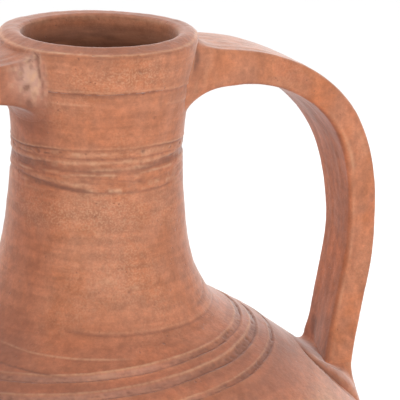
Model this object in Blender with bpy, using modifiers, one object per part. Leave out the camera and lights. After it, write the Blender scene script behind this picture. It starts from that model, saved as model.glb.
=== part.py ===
"""Two-handled terracotta jug, put together from the pieces a potter makes.

The wall is thrown in bands that are luted one on another: lower body, upper body, neck and rim
collar, with a ring of joint clay at the belly and at the neck's foot, all standing on a base
disc. Each pulled strap handle meets the neck and the shoulder in a pad of clay.

Units are metres. The origin is the middle of the base's flat underside, +Z is up through the
mouth, and the handles lie along X, the right one at +X.
"""
import math

import bmesh
import bpy
from mathutils import Vector

MM = 0.001

# Overall sizes, in millimetres.
HEIGHT = 430.0
WALL = 8.0
BASE_RADIUS = 64.0
BASE_THICKNESS = 10.0
BELLY_RADIUS = 163.0
BELLY_HEIGHT = 150.0

# The wall's outer outline from the lip's outer edge down to the base: (radius, height) of the
# corners of each cubic stretch.
LIP_EDGE = (50.3, 426.0)
COLLAR_FOOT = (47.7, 407.0)
NECK_FOOT = (46.7, 335.0)
SHOULDER_TOP = (64.1, 287.8)
SHOULDER_FOOT = (104.0, 259.5)
BELLY = (BELLY_RADIUS, BELLY_HEIGHT)
OUTLINE = (
    (LIP_EDGE, (49.8, 419.0), (48.9, 413.0), COLLAR_FOOT),
    (COLLAR_FOOT, (44.6, 381.7), (43.0, 371.3), NECK_FOOT),
    (NECK_FOOT, (49.3, 308.8), (54.1, 297.5), SHOULDER_TOP),
    (SHOULDER_TOP, (69.1, 283.0), (88.1, 270.3), SHOULDER_FOOT),
    (SHOULDER_FOOT, (138.9, 235.8), (BELLY_RADIUS, 214.4), BELLY),
    (BELLY, (BELLY_RADIUS, 86.0), (110.0, 44.0), (BASE_RADIUS, 0.0)),
)

# The lip: a rounded crest that falls to the bore inside and in a bevel to the lip edge outside.
BORE_RADIUS = 39.8
LIP_CREST = (44.5, HEIGHT)
LIP_INNER_DROP = 2.6

# Heights of the outer lines where one band of clay ends and the next begins.
COLLAR_JOINT = 406.5
NECK_RING_TOP = 290.0
NECK_RING_FOOT = 282.0
BELLY_RING_TOP = 154.0
BELLY_RING_FOOT = 146.0

# Joints between bands: a tongue on the inner half of the wall's thickness.
GAP = 0.3
TONGUE = 4.0

# Strap handles. The centre line is two cubic stretches in the plane of the handle.
HANDLE_TOP = (44.3, 411.3)
HANDLE_OUTERMOST = (151.8, 308.7)
HANDLE_FOOT = (142.2, 222.0)
HANDLE_LINE = (
    (HANDLE_TOP, (106.9, 413.4), (HANDLE_OUTERMOST[0], 385.5), HANDLE_OUTERMOST),
    (HANDLE_OUTERMOST, (HANDLE_OUTERMOST[0], 284.0), (141.0, 254.0), HANDLE_FOOT),
)
# Width and thickness of the strap at even steps along the centre line.
STRAP_WIDTHS = (50.0, 47.5, 44.0, 39.5, 31.5, 27.0, 26.8, 27.5, 30.0)
STRAP_THICKNESSES = (20.9, 17.1, 14.5, 14.0, 15.1, 16.2, 16.2, 15.6, 14.8)
SECTION_POINTS = 16
SECTION_SQUARENESS = 3.4
STRAP_STATIONS = 24

# Pads of clay between the strap and the wall.
UPPER_PAD_REACH = 61.0
UPPER_PAD_DEPTH = 30.0
UPPER_PAD_SPREAD = (8.0, 9.0)
UPPER_PAD_DROP = 3.0
LOWER_PAD_REACH = 20.0
LOWER_PAD_DEPTH = 26.0
LOWER_PAD_SPREAD = (14.0, 11.0)
PAD_STATIONS = 7

# Mesh density.
STEPS = 56
POINTS_PER_STRETCH = 40

COLOURS = {
    "body_clay": (0.53, 0.205, 0.122),
    "handle_clay": (0.56, 0.21, 0.11),
    "joint_clay": (0.55, 0.25, 0.165),
}
ROUGHNESS = 0.82


def clear_scene():
    """Remove what the start-up file holds."""
    for item in list(bpy.data.objects):
        bpy.data.objects.remove(item, do_unlink=True)


def new_collection(name):
    """A collection linked to the scene."""
    group = bpy.data.collections.new(name)
    bpy.context.scene.collection.children.link(group)
    return group


def clay(slot, node):
    """A matt fired clay of the slot's colour, one material for each piece."""
    material = bpy.data.materials.new(f"{slot}_{node}")
    material.use_nodes = True
    shader = material.node_tree.nodes["Principled BSDF"]
    shader.inputs["Base Color"].default_value = (*COLOURS[slot], 1.0)
    shader.inputs["Roughness"].default_value = ROUGHNESS
    shader.inputs["Metallic"].default_value = 0.0
    return material


def cubic(corners, count):
    """Points along a cubic stretch, without its last one."""
    start, pull_a, pull_b, end = (Vector(corner) for corner in corners)
    points = []
    for index in range(count):
        t = index / count
        u = 1.0 - t
        points.append(start * u**3 + pull_a * 3 * u * u * t + pull_b * 3 * u * t * t + end * t**3)
    return points


class Chain:
    """A smooth line through several cubic stretches, read by the distance along it."""

    def __init__(self, stretches):
        self.points = []
        for corners in stretches:
            self.points += cubic(corners, POINTS_PER_STRETCH)
        self.points.append(Vector(stretches[-1][-1]))
        self.distances = [0.0]
        for before, after in zip(self.points, self.points[1:]):
            self.distances.append(self.distances[-1] + (after - before).length)
        self.length = self.distances[-1]
        befores = self.points[:1] + self.points[:-1]
        afters = self.points[1:] + self.points[-1:]
        self.directions = [(b - a).normalized() for a, b in zip(befores, afters)]

    def at(self, distance):
        """The point at a distance, and the unit direction there; it runs on straight past an end."""
        index = 0
        while index < len(self.points) - 2 and self.distances[index + 1] < distance:
            index += 1
        near, far = self.points[index], self.points[index + 1]
        part = (distance - self.distances[index]) / (self.distances[index + 1] - self.distances[index])
        turn = min(max(part, 0.0), 1.0)
        direction = self.directions[index].lerp(self.directions[index + 1], turn)
        return near + (far - near) * part, direction.normalized()


WALL_LINE = Chain(OUTLINE)
STRAP_LINE = Chain(HANDLE_LINE)


def distance_at_height(height):
    """Distance down the wall's outer outline to a height."""
    points, distances = WALL_LINE.points, WALL_LINE.distances
    for index, point in enumerate(points[1:], start=1):
        if point.y <= height:
            above = points[index - 1]
            part = (above.y - height) / (above.y - point.y)
            return distances[index - 1] + (distances[index] - distances[index - 1]) * part
    return WALL_LINE.length


def in_wall(distance, depth):
    """(radius, height) at a distance down the outline and a depth in from its surface."""
    point, along = WALL_LINE.at(distance)
    inward = Vector((along.y, -along.x))
    return point + inward * depth


def down_the_wall(start, end, depth, spacing):
    """Points between two distances, at one depth."""
    count = max(2, round(abs(end - start) / spacing))
    return [in_wall(start + (end - start) * i / count, depth) for i in range(count + 1)]


def band_outline(top, foot, spacing):
    """A band of wall between two joints: tongue up at its top, rebate for one at its foot."""
    half = GAP / 2
    middle = WALL / 2
    outline = down_the_wall(top + half, foot - half, 0.0, spacing)
    outline.append(in_wall(foot - half, middle - half))
    outline.append(in_wall(foot - half - TONGUE, middle - half))
    outline += down_the_wall(foot - half - TONGUE, top + half - TONGUE, WALL, spacing)
    outline.append(in_wall(top + half - TONGUE, middle + half))
    outline.append(in_wall(top + half, middle + half))
    return outline


def turned(name, outline, group, closed=True):
    """A piece turned about Z from (radius, height) points in millimetres."""
    mesh = bpy.data.meshes.new(name)
    points = [(point[0] * MM, 0.0, point[1] * MM) for point in outline]
    edges = [(i, i + 1) for i in range(len(points) - 1)]
    if closed:
        edges.append((len(points) - 1, 0))
    mesh.from_pydata(points, edges, [])
    piece = bpy.data.objects.new(name, mesh)
    group.objects.link(piece)
    screw = piece.modifiers.new("turn", "SCREW")
    screw.angle = math.tau
    screw.steps = STEPS
    screw.render_steps = STEPS
    screw.use_merge_vertices = True
    screw.merge_threshold = 0.00001
    screw.use_smooth_shade = True
    return piece


def finish(piece, slot):
    """Give a piece its clay."""
    piece.data.materials.append(clay(slot, piece.name))
    return piece


def rim_collar(group):
    """The thickened lip, down to the incised line where it sits on the neck."""
    half = GAP / 2
    middle = WALL / 2
    foot = distance_at_height(COLLAR_JOINT)
    crest = Vector(LIP_CREST)
    edge = Vector(LIP_EDGE)
    outline = [
        Vector((BORE_RADIUS, HEIGHT - LIP_INNER_DROP)),
        Vector((BORE_RADIUS + 0.9, HEIGHT - 1.1)),
        Vector((crest.x - 2.0, HEIGHT - 0.3)),
        crest,
        Vector((crest.x + 2.6, HEIGHT - 0.9)),
        edge + Vector((-0.8, 0.7)),
    ]
    outline += down_the_wall(0.0, foot - half, 0.0, 9.0)
    outline.append(in_wall(foot - half, middle - half))
    outline.append(in_wall(foot - half - TONGUE, middle - half))
    outline.append(in_wall(foot - half - TONGUE, WALL))
    return finish(turned("rim_collar", outline, group), "body_clay")


def wall_band(name, top_height, foot_height, spacing, slot, group):
    """A thrown band or a joint ring between two heights."""
    top = distance_at_height(top_height)
    foot = distance_at_height(foot_height)
    return finish(turned(name, band_outline(top, foot, spacing), group), slot)


def lower_body(group):
    """The bowl below the belly, whose foot stands in the base disc's rebate."""
    half = GAP / 2
    middle = WALL / 2
    top = distance_at_height(BELLY_RING_FOOT)
    foot = distance_at_height(BASE_THICKNESS / 2)
    outline = down_the_wall(top + half, foot, 0.0, 17.0)
    sole = outline[-1]
    outline.append(Vector((sole.x - WALL, sole.y)))
    inner_foot = distance_at_height(BASE_THICKNESS + WALL)
    outline += down_the_wall(inner_foot, top + half - TONGUE, WALL, 17.0)
    outline.append(in_wall(top + half - TONGUE, middle + half))
    outline.append(in_wall(top + half, middle + half))
    return finish(turned("lower_body", outline, group), "body_clay")


def base_disc(group):
    """The floor of the jug: a flat disc with a rebate round its edge for the wall's foot."""
    ledge, _ = WALL_LINE.at(distance_at_height(BASE_THICKNESS / 2))
    raised = ledge.x - WALL - GAP
    outline = [
        Vector((0.0, BASE_THICKNESS)),
        Vector((raised - 1.5, BASE_THICKNESS)),
        Vector((raised, BASE_THICKNESS - 1.5)),
        Vector((raised, BASE_THICKNESS / 2 - GAP)),
        Vector((ledge.x - 0.2, BASE_THICKNESS / 2 - GAP)),
        Vector((BASE_RADIUS, 1.2)),
        Vector((BASE_RADIUS - 1.2, 0.0)),
        Vector((0.0, 0.0)),
    ]
    return finish(turned("base_disc", outline, group, closed=False), "body_clay")


def spread(values, part):
    """Read a list of even steps at a part between 0 and 1, on a smooth curve through them."""
    last = len(values) - 1
    index = min(int(part * last), last - 1)
    t = part * last - index
    near, far = values[index], values[index + 1]
    before = values[max(index - 1, 0)]
    after = values[min(index + 2, last)]
    slope_near = (far - before) / 2
    slope_far = (after - near) / 2
    return (
        near * (2 * t**3 - 3 * t**2 + 1)
        + slope_near * (t**3 - 2 * t**2 + t)
        + far * (3 * t**2 - 2 * t**3)
        + slope_far * (t**3 - t**2)
    )


def strap_section(centre, along, width, thickness):
    """A soft-cornered rectangle across the strap's direction, in the right handle's place."""
    outward = Vector((-along.y, along.x))
    points = []
    for index in range(SECTION_POINTS):
        angle = math.tau * (index + 0.5) / SECTION_POINTS
        power = 2.0 / SECTION_SQUARENESS
        across = math.copysign(abs(math.cos(angle)) ** power, math.cos(angle)) * width / 2
        over = math.copysign(abs(math.sin(angle)) ** power, math.sin(angle)) * thickness / 2
        spot = centre + outward * over
        points.append(Vector((spot.x, across, spot.y)) * MM)
    return points


def lofted(name, sections, group):
    """A closed solid through sections of equal point counts, with flat ends."""
    solid = bmesh.new()
    rings = [[solid.verts.new(point) for point in section] for section in sections]
    for ring, beyond in zip(rings, rings[1:]):
        for i in range(len(ring)):
            j = (i + 1) % len(ring)
            solid.faces.new((ring[i], ring[j], beyond[j], beyond[i]))
    solid.faces.new(rings[0])
    solid.faces.new(rings[-1])
    bmesh.ops.recalc_face_normals(solid, faces=solid.faces)
    mesh = bpy.data.meshes.new(name)
    solid.to_mesh(mesh)
    solid.free()
    mesh.shade_smooth()
    mesh.set_sharp_from_angle(angle=math.radians(50.0))
    piece = bpy.data.objects.new(name, mesh)
    group.objects.link(piece)
    return piece


def strap_sizes(distance):
    """Width and thickness of the strap at a distance along its centre line."""
    part = min(max(distance / STRAP_LINE.length, 0.0), 1.0)
    return spread(STRAP_WIDTHS, part), spread(STRAP_THICKNESSES, part)


def strap_at(distance):
    """The strap's own section at a distance along its centre line."""
    centre, along = STRAP_LINE.at(distance)
    return strap_section(centre, along, *strap_sizes(distance))


def pad_at(distance, part, growth, drop):
    """A pad's section: the strap's, grown and dropped in step with how near the wall it is."""
    centre, along = STRAP_LINE.at(distance)
    width, thickness = strap_sizes(distance)
    ease = part * part
    centre = centre + Vector((0.0, -drop * ease))
    width += growth[0] * ease
    thickness += growth[1] * ease
    return strap_section(centre, along, width, thickness)


def upper_pad_sections():
    """From the strap's end into the neck's wall."""
    reach = UPPER_PAD_REACH - HANDLE_TOP[0]
    depth = UPPER_PAD_DEPTH - HANDLE_TOP[0]
    sections = []
    for index in range(PAD_STATIONS):
        part = index / (PAD_STATIONS - 1)
        near_wall = min(1.0, part * 1.5)
        distance = reach + (depth - reach) * part
        sections.append(pad_at(distance, near_wall, UPPER_PAD_SPREAD, UPPER_PAD_DROP))
    return sections


def lower_pad_sections():
    """From the strap's end into the shoulder's wall."""
    start = STRAP_LINE.length - LOWER_PAD_REACH
    end = STRAP_LINE.length + LOWER_PAD_DEPTH
    sections = []
    for index in range(PAD_STATIONS):
        part = index / (PAD_STATIONS - 1)
        near_wall = min(1.0, part * 1.7)
        distance = start + (end - start) * part
        sections.append(pad_at(distance, near_wall, LOWER_PAD_SPREAD, 0.0))
    return sections


def handle_sections():
    """The strap from one pad to the other, clear of both by the gap."""
    start = UPPER_PAD_REACH - HANDLE_TOP[0] + GAP
    end = STRAP_LINE.length - LOWER_PAD_REACH - GAP
    last = STRAP_STATIONS - 1
    return [strap_at(start + (end - start) * i / last) for i in range(STRAP_STATIONS)]


def wall_cutter(group):
    """The whole jug as one solid, a gap larger all round, to cut the pads' backs with."""
    crown = Vector((LIP_CREST[0], HEIGHT + GAP))
    belly = distance_at_height(BELLY_HEIGHT)
    outline = [Vector((0.0, crown.y)), crown]
    outline += down_the_wall(0.0, belly, -GAP, 6.0)
    outline.append(Vector((0.0, BELLY_HEIGHT)))
    cutter = turned("wall_cutter", outline, group, closed=False)
    cutter.hide_render = True
    cutter.display_type = "WIRE"
    return cutter


def cut_to_wall(piece, cutter):
    """Shape a pad's back to the wall it sits on."""
    cut = piece.modifiers.new("seat", "BOOLEAN")
    cut.operation = "DIFFERENCE"
    cut.solver = "EXACT"
    cut.object = cutter
    return piece


def place_side(piece, side_angle):
    """Turn a right-hand piece to its own side of the jug."""
    piece.rotation_euler = (0.0, 0.0, side_angle)
    return piece


def add_handle(side, side_angle, group, cutter):
    """One strap handle and its two pads."""
    strap = lofted(f"handle_{side}", handle_sections(), group)
    upper = lofted(f"upper_luting_pad_{side}", upper_pad_sections(), group)
    lower = lofted(f"lower_luting_pad_{side}", lower_pad_sections(), group)
    finish(strap, "handle_clay")
    finish(upper, "joint_clay")
    finish(lower, "joint_clay")
    cut_to_wall(upper, cutter)
    cut_to_wall(lower, cutter)
    for piece in (strap, upper, lower):
        place_side(piece, side_angle)


def main():
    """Build the jug."""
    clear_scene()
    group = new_collection("two_handled_jug")
    cutters = new_collection("cutters")
    rim_collar(group)
    wall_band("neck", COLLAR_JOINT, NECK_RING_TOP, 15.0, "body_clay", group)
    wall_band("neck_luting_ring", NECK_RING_TOP, NECK_RING_FOOT, 5.0, "joint_clay", group)
    wall_band("upper_body", NECK_RING_FOOT, BELLY_RING_TOP, 15.0, "body_clay", group)
    wall_band("belly_luting_ring", BELLY_RING_TOP, BELLY_RING_FOOT, 8.0, "joint_clay", group)
    lower_body(group)
    base_disc(group)
    cutter = wall_cutter(cutters)
    add_handle("right", 0.0, group, cutter)
    add_handle("left", math.pi, group, cutter)


main()
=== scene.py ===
"""Looks of the two-handled terracotta jug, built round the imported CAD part.

Lengths are in millimetres until a mesh is made. Heights of features are measured down from the
rim, and angles round the jug start at the right handle and turn towards +Y.
"""

import math

import bpy
import numpy as np
from mathutils import Matrix, Vector


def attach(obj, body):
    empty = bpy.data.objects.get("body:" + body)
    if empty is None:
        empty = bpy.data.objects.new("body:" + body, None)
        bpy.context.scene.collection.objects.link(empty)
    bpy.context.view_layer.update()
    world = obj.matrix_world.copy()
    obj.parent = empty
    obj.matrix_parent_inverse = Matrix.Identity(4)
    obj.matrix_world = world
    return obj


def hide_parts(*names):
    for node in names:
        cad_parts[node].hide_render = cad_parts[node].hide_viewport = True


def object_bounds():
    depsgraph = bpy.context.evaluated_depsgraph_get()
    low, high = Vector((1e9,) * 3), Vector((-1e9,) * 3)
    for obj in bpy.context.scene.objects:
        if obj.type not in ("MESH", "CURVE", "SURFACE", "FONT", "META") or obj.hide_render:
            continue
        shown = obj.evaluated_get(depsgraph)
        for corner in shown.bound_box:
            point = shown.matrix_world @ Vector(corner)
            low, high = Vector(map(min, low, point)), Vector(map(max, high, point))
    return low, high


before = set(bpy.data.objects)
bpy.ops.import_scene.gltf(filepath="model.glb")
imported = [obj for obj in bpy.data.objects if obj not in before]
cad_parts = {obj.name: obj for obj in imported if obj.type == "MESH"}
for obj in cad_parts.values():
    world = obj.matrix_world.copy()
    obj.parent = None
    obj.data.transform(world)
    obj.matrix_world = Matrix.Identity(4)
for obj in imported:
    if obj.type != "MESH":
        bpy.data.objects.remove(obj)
cad_low, cad_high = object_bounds()

MM = 0.001
TOP = cad_high.z / MM

# The wall's thickness, and how far it swells and hollows where the neck meets the shoulder.
WALL = 8.0
NECK_FOOT_SWELL = 0.9
NECK_FOOT_HOLLOW = 1.7

# Points round a turned piece, and the angle from which an edge is drawn sharp.
COLUMNS = 576
SHARP_ANGLE = math.radians(62.0)

# Joints between the bands of clay, measured down from the rim.
COLLAR_JOINT = 23.5
NECK_RING_TOP = 140.0
NECK_RING_FOOT = 148.0
BELLY_RING_TOP = 276.0
BELLY_RING_FOOT = 284.0
BASE_JOINT = TOP - 5.0

# The wall from the bore up over the lip and down the outside, as (radius, drop) corners of cubic
# stretches.
LIP_CURVES = (
    ((39.8, 18.0), (39.8, 13.0), (39.8, 8.0), (39.8, 3.4)),
    ((39.8, 3.4), (39.8, 1.4), (40.9, 0.1), (43.4, 0.0)),
    ((43.4, 0.0), (44.6, 0.0), (45.6, 0.2), (46.6, 0.9)),
    ((46.6, 0.9), (47.8, 1.8), (48.9, 2.7), (49.6, 3.3)),
    ((49.6, 3.3), (50.15, 3.75), (50.35, 4.2), (50.25, 5.2)),
    ((50.25, 5.2), (49.8, 11.0), (48.9, 17.0), (47.7, 23.0)),
)
BODY_CURVES = (
    ((47.7, 23.0), (44.6, 48.3), (43.0, 58.7), (46.7, 95.0)),
    ((46.7, 95.0), (49.3, 121.2), (54.1, 132.5), (64.1, 142.2)),
    ((64.1, 142.2), (69.1, 147.0), (88.1, 159.7), (104.0, 170.5)),
    ((104.0, 170.5), (138.9, 194.2), (163.0, 215.6), (163.0, 280.0)),
    ((163.0, 280.0), (163.0, 344.0), (110.0, 386.0), (64.0, 430.0)),
)

# The handle's centre line in its own plane, as (radius, drop), and the strap's sizes along it.
HANDLE_CURVES = (
    ((44.3, 18.7), (106.9, 16.6), (151.8, 44.5), (151.8, 121.3)),
    ((151.8, 121.3), (151.8, 146.0), (141.0, 176.0), (142.2, 208.0)),
)
STRAP_WIDTHS = (52.1, 50.2, 47.0, 42.4, 35.2, 29.6, 29.4, 29.6, 30.4)
STRAP_THICKNESSES = (22.6, 17.0, 14.8, 14.7, 16.0, 17.0, 17.0, 16.2, 14.6)
UPPER_PAD_START = 16.7
LOWER_PAD_START = 20.0
STRAP_STATIONS = 250
FACE_POINTS, SIDE_POINTS, CORNER_POINTS = 38, 20, 8

# The thrown neck leans a little, towards the right of the jug's front.
VIEW_HEADING = math.radians(24.0)
LEAN_SLOPE = 0.0193
LEAN_START = 150.0

# The camera: its place from the rim's centre, to its own right, back and up, and how it looks.
CAMERA_RIGHT = 55.6
CAMERA_BACK = 954.5
CAMERA_UP = 192.5
CAMERA_PITCH = math.radians(16.459)
CAMERA_ROLL = math.radians(1.2)
CAMERA_LENS = 171.8

# The studio's white sweep: its level, and how much brighter it is towards +X and +Y.
SWEEP_LEVEL = 1.02
SWEEP_TILT = (-0.05, 0.68, 0.0)

# The clay's colours, and those of its marks: staining, and painted shade and highlights.
CLAY = {
    "body": (0.475, 0.172, 0.082, 1.0),
    "body_warm": (0.452, 0.150, 0.065, 1.0),
    "strap": (0.49, 0.170, 0.074, 1.0),
    "strap_warm": (0.50, 0.160, 0.062, 1.0),
    "pink": (0.49, 0.205, 0.118, 1.0),
    "red": (0.40, 0.122, 0.060, 1.0),
    "cream": (0.68, 0.38, 0.225, 1.0),
    "ash": (0.64, 0.41, 0.33, 1.0),
    "pit": (0.19, 0.07, 0.04, 1.0),
    # Colour of the dark layer: darker cuts, cracks and staining, and painted shade in other places.
    "dirt_and_shade": (0.20, 0.08, 0.05, 1.0),
    # Colours of the inside, dark partly as painted shade.
    "inside": (0.13, 0.044, 0.020, 1.0),
    "inside_pale": (0.27, 0.105, 0.052, 1.0),
}

# What a skin carries at each point, for its material to read: staining, painted shade and highlights,
# and which parts are inside or strap.
SKIN_LAYERS = ("dark", "pale", "red", "bloom", "ash", "inner", "strap")


def cubic(corners, count=70):
    """Points along a cubic stretch given by its (radius, drop) corners, as (radius, height)."""
    t = np.linspace(0.0, 1.0, count)[:, None]
    a, b, c, d = (np.array((corner[0], TOP - corner[1])) for corner in corners)
    return a * (1 - t) ** 3 + 3 * b * t * (1 - t) ** 2 + 3 * c * t * t * (1 - t) + d * t**3


class Line:
    """A smooth line through cubic stretches, read by the distance along it."""

    def __init__(self, curves):
        parts = [cubic(corners) for corners in curves]
        self.points = np.concatenate([part[:-1] for part in parts] + [parts[-1][-1:]])
        steps = np.linalg.norm(np.diff(self.points, axis=0), axis=1)
        self.distances = np.concatenate(([0.0], np.cumsum(steps)))
        self.length = self.distances[-1]
        slopes = np.gradient(self.points, self.distances, axis=0)
        self.directions = slopes / np.linalg.norm(slopes, axis=1)[:, None]

    def at(self, distance):
        """Points, unit directions and left-hand normals; the line runs on straight past its ends."""
        inside = np.clip(distance, 0.0, self.length)
        point = read_pairs(inside, self.distances, self.points)
        along = read_pairs(inside, self.distances, self.directions)
        along = along / np.linalg.norm(along, axis=-1)[..., None]
        point = point + along * (distance - inside)[..., None]
        normal = np.stack([-along[..., 1], along[..., 0]], axis=-1)
        return point, along, normal

    def distance_at_drop(self, drop):
        """Distance to a height below the rim, on the outside."""
        crest = np.argmax(self.points[:, 1])
        drops = TOP - self.points[crest:, 1]
        return float(np.interp(drop, drops, self.distances[crest:]))


def read_pairs(where, at, pairs):
    """Linear reading of a list of pairs."""
    return np.stack([np.interp(where, at, pairs[:, i]) for i in (0, 1)], axis=-1)


def smooth(low, high, value):
    """A smooth step from 0 at low to 1 at high."""
    t = np.clip((value - low) / (high - low), 0.0, 1.0)
    return t * t * (3 - 2 * t)


def bell(offset, width):
    """A bell of height 1 and that half-width."""
    return np.exp(-((offset / width) ** 2))


def plateau(value, start, full, last, end):
    """1 from full to last, falling smoothly to 0 at start and at end."""
    return smooth(start, full, value) * (1 - smooth(last, end, value))


def through(values, part):
    """Read even steps at parts between 0 and 1, on a smooth curve through them."""
    values = np.array(values, float)
    last = len(values) - 1
    index = np.clip((part * last).astype(int), 0, last - 1)
    t = part * last - index
    slopes = np.gradient(values)
    return hermite(t, values[index], values[index + 1], slopes[index], slopes[index + 1])


def hermite(t, near, far, slope_near, slope_far):
    """A cubic from near to far with those slopes."""
    return (
        near * (2 * t**3 - 3 * t**2 + 1)
        + slope_near * (t**3 - 2 * t**2 + t)
        + far * (3 * t**2 - 2 * t**3)
        + slope_far * (t**3 - t**2)
    )


def around(angle, knots):
    """A value that passes smoothly through (degrees, value) knots and closes round the jug."""
    knots = [(a - 360, v) for a, v in knots[-2:]] + list(knots) + [(a + 360, v) for a, v in knots[:2]]
    angles, values = np.array(knots, float).T
    slopes = np.gradient(values, angles)
    index = np.clip(np.searchsorted(angles, angle) - 1, 0, len(angles) - 2)
    span = angles[index + 1] - angles[index]
    t = (angle - angles[index]) / span
    return hermite(t, values[index], values[index + 1], slopes[index] * span, slopes[index + 1] * span)


def cell_value(cell, seed):
    """A fixed number from -1 to 1 for each whole-numbered cell."""
    h = (cell[0] * 374761393 + cell[1] * 668265263 + cell[2] * 1440662683 + seed * 974711) & 0xFFFFFFFF
    h = ((h ^ (h >> 13)) * 1274126177) & 0xFFFFFFFF
    h = ((h ^ (h >> 16)) * 1103515245) & 0xFFFFFFFF
    return ((h ^ (h >> 15)) & 0xFFFFFF) / 8388607.5 - 1.0


def noise(points, size, seed):
    """Smooth 3-D noise from -1 to 1 whose lumps have that size, one number or one for each axis."""
    scaled = points / np.array(size, float)
    base = np.floor(scaled).astype(np.int64)
    t = scaled - base
    t = t**3 * (t * (t * 6 - 15) + 10)
    total = 0.0
    for corner in np.ndindex(2, 2, 2):
        weight = 1.0
        for axis in range(3):
            weight = weight * (t[..., axis] if corner[axis] else 1 - t[..., axis])
        cell = [base[..., axis] + corner[axis] for axis in range(3)]
        total = total + weight * cell_value(cell, seed)
    return total


WALL_LINE = Line(LIP_CURVES + BODY_CURVES)
STRAP_LINE = Line(HANDLE_CURVES)
STRAP_START = UPPER_PAD_START
STRAP_END = STRAP_LINE.length - LOWER_PAD_START


def leaned(points):
    """Points shifted by the neck's lean."""
    rise = points[..., 2] - (TOP - LEAN_START)
    shift = LEAN_SLOPE * (np.sqrt(rise**2 + 200.0) + rise) / 2
    moved = points.copy()
    moved[..., 0] += shift * math.cos(VIEW_HEADING)
    moved[..., 1] -= shift * math.sin(VIEW_HEADING)
    return moved


class Relief:
    """What the potter's hands and tools left on a piece, with painted shade and highlights:
    displacement and staining at its points.
    """

    def __init__(self, points, steep=1.0):
        self.points = points
        self.angle = np.degrees(np.arctan2(points[..., 1], points[..., 0]))
        self.drop = TOP - points[..., 2]
        self.steep = steep
        self.lift = np.zeros(self.drop.shape)
        for name in SKIN_LAYERS:
            setattr(self, name, np.zeros(self.drop.shape))

    def course(self, *knots):
        """The drop of a line round the jug, smoothly through (degrees, drop) knots."""
        return around(self.angle, knots)

    def streaks(self, size, seed):
        """Noise that changes round the jug and not down it."""
        return noise(self.points, (size, size, 400), seed)

    def above(self, drop):
        """How far a point lies above a line at that drop, measured on the surface."""
        return (drop - self.drop) / self.steep

    def between(self, first, last, fade=6.0):
        """1 between two angles, fading out beyond them."""
        return plateau(self.angle, first - fade, first + fade, last - fade, last + fade)

    def add(self, amount, **marks):
        """Add one mark, whose shape is amount, to the lift and the named layers of staining and painted
        light.
        """
        for name, strength in marks.items():
            setattr(self, name, getattr(self, name) + amount * strength)

    def stripe(self, drop, width, share=1.0, **marks):
        """A soft-edged stripe round the jug, with that half-width."""
        self.add(share * bell(self.above(drop), width), **marks)

    def line(self, drop, width, depth, share=1.0, dark=0.8, burr=0.0, pale=0.0, red=0.3):
        """An incised line with a burr pushed up above it."""
        self.stripe(drop, width, share, lift=-depth, dark=dark, red=red)
        self.add(share * bell(self.above(drop) - 1.9 * width, width), lift=burr, pale=pale)

    def trough(self, drop, half, depth, share, dark_floor, dark_edge):
        """A broad groove, deepest at its lower edge, under a raised burr."""
        rise = self.above(drop) / half
        floor = plateau(rise, -1.2, -0.85, 0.35, 1.15)
        self.lift -= share * depth * floor * (0.8 - 0.3 * rise)
        self.dark += share * floor * dark_floor
        self.add(share * floor * (1 - 2 * dark_floor), ash=0.45)
        self.add(share * bell(rise - 1.25, 0.3), lift=0.26, pale=0.9)
        self.add(share * bell(rise + 0.95, 0.2), lift=-0.3, dark=dark_edge)
        self.add(share * bell(rise + 1.5, 0.3), lift=0.1, pale=0.15)

    def spot(self, angle, drop, width, height, turn=0.0, **marks):
        """A mark at one place; width and height are its half-sizes in millimetres."""
        radius = np.hypot(self.points[..., 0], self.points[..., 1])
        across = radius * np.radians(self.angle - angle)
        down = -self.above(drop)
        c, s = math.cos(math.radians(turn)), math.sin(math.radians(turn))
        long, short = (across * c + down * s) / width, (down * c - across * s) / height
        shape = np.exp(-(long**2) - short**2)
        self.add(shape, **marks)
        return shape

    def scuffed(self, amount, seed):
        """Rough clay with pale flecks and dark hollows."""
        rough = noise(self.points, (4.2, 4.2, 1.7), seed)
        hollow = noise(self.points, (2.2, 2.2, 1.1), seed + 400)
        self.add(amount * rough, lift=0.12)
        self.add(amount * smooth(0.2, 0.7, rough), pale=0.35)
        self.add(amount * smooth(0.2, 0.7, hollow), lift=-0.1, dark=0.25, red=0.4)

    def hand_thrown(self, seed):
        """Wobble, faint throwing rings and lumps of the clay."""
        p = self.points
        self.lift += 0.22 * noise(p, 60, seed)
        self.lift += 0.10 * noise(p, (90, 90, 4.2), seed + 1)
        self.lift += 0.07 * noise(p, (26, 26, 2.6), seed + 2)
        self.lift += 0.08 * noise(p, (7, 7, 5), seed + 3)
        self.lift += 0.05 * noise(p, (2.6, 2.6, 2.2), seed + 4)


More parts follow.
